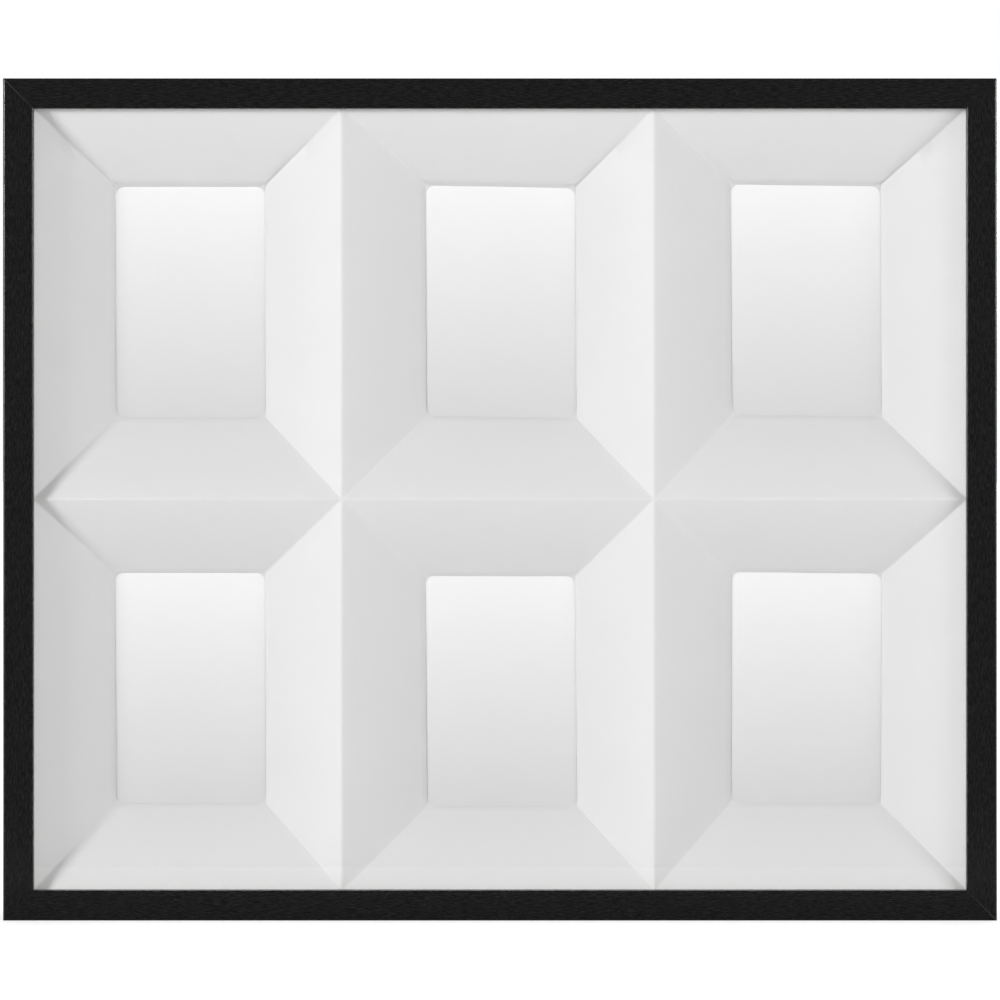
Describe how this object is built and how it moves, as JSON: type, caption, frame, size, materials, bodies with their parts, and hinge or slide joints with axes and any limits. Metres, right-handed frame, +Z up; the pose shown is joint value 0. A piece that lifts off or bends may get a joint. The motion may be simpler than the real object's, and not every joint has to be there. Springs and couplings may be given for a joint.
{
  "type": "collage photo frame",
  "caption": "Wide wall frame with a mitred black wood-grain moulding, glass front and a white vacuum-formed mat whose sloping wells each show a print; turn buttons hold the back board.",
  "frame": {"origin": "middle of the underside, halfway through the moulding's depth", "axes": "+X along the width to the viewer's right, +Y out of the back to the wall, +Z up"},
  "size_m": [0.623, 0.0425, 0.528],
  "materials": {
    "black_grain_moulding": "black wood-grain foil on a wood moulding, satin",
    "clear_glass": "clear float glass, polished",
    "white_sheet": "white vacuum-formed styrene sheet, satin",
    "insert_paper": "coated paper shaded from near white to pale grey",
    "grey_card": "grey filler card, uncoated",
    "brown_fibreboard": "brown fibreboard, pressed smooth",
    "plated_steel": "zinc-plated pressed steel",
    "spring_steel": "bare spring steel strip",
    "bumper_rubber": "dark rubber, matt"
  },
  "bodies": {
    "frame": {"top_rail": "black_grain_moulding", "bottom_rail": "black_grain_moulding", "left_stile": "black_grain_moulding", "right_stile": "black_grain_moulding", "corner_v_nails": "spring_steel", "front_glazing": "clear_glass", "formed_mat": "white_sheet", "photo_print_lower_left": "insert_paper", "photo_print_lower_middle": "insert_paper", "photo_print_lower_right": "insert_paper", "photo_print_upper_left": "insert_paper", "photo_print_upper_middle": "insert_paper", "photo_print_upper_right": "insert_paper", "filler_card": "grey_card", "back_board": "brown_fibreboard", "turn_button_screws": "plated_steel", "sawtooth_hanger_left": "plated_steel", "sawtooth_hanger_right": "plated_steel", "hanger_nails": "plated_steel", "wall_bumper_left": "bumper_rubber", "wall_bumper_right": "bumper_rubber"},
    "turn_button_bottom_left": {"turn_button_bottom_left": "plated_steel"},
    "turn_button_top_left": {"turn_button_top_left": "plated_steel"},
    "turn_button_bottom_right": {"turn_button_bottom_right": "plated_steel"},
    "turn_button_top_right": {"turn_button_top_right": "plated_steel"},
    "turn_button_left_lower": {"turn_button_left_lower": "plated_steel"},
    "turn_button_right_lower": {"turn_button_right_lower": "plated_steel"},
    "turn_button_left_upper": {"turn_button_left_upper": "plated_steel"},
    "turn_button_right_upper": {"turn_button_right_upper": "plated_steel"}
  },
  "joints": [
    {"name": "turn_button_bottom_left_turn", "type": "hinge", "parent": "frame", "child": "turn_button_bottom_left", "pos_m": [-0.0975, 0.01925, 0.0065], "axis": [0, 1, 0], "continuous": true},
    {"name": "turn_button_top_left_turn", "type": "hinge", "parent": "frame", "child": "turn_button_top_left", "pos_m": [-0.0975, 0.01925, 0.5215], "axis": [0, 1, 0], "continuous": true},
    {"name": "turn_button_bottom_right_turn", "type": "hinge", "parent": "frame", "child": "turn_button_bottom_right", "pos_m": [0.0975, 0.01925, 0.0065], "axis": [0, 1, 0], "continuous": true},
    {"name": "turn_button_top_right_turn", "type": "hinge", "parent": "frame", "child": "turn_button_top_right", "pos_m": [0.0975, 0.01925, 0.5215], "axis": [0, 1, 0], "continuous": true},
    {"name": "turn_button_left_lower_turn", "type": "hinge", "parent": "frame", "child": "turn_button_left_lower", "pos_m": [-0.305, 0.01925, 0.1415], "axis": [0, 1, 0], "continuous": true},
    {"name": "turn_button_right_lower_turn", "type": "hinge", "parent": "frame", "child": "turn_button_right_lower", "pos_m": [0.305, 0.01925, 0.1415], "axis": [0, 1, 0], "continuous": true},
    {"name": "turn_button_left_upper_turn", "type": "hinge", "parent": "frame", "child": "turn_button_left_upper", "pos_m": [-0.305, 0.01925, 0.3865], "axis": [0, 1, 0], "continuous": true},
    {"name": "turn_button_right_upper_turn", "type": "hinge", "parent": "frame", "child": "turn_button_right_upper", "pos_m": [0.305, 0.01925, 0.3865], "axis": [0, 1, 0], "continuous": true}
  ]
}
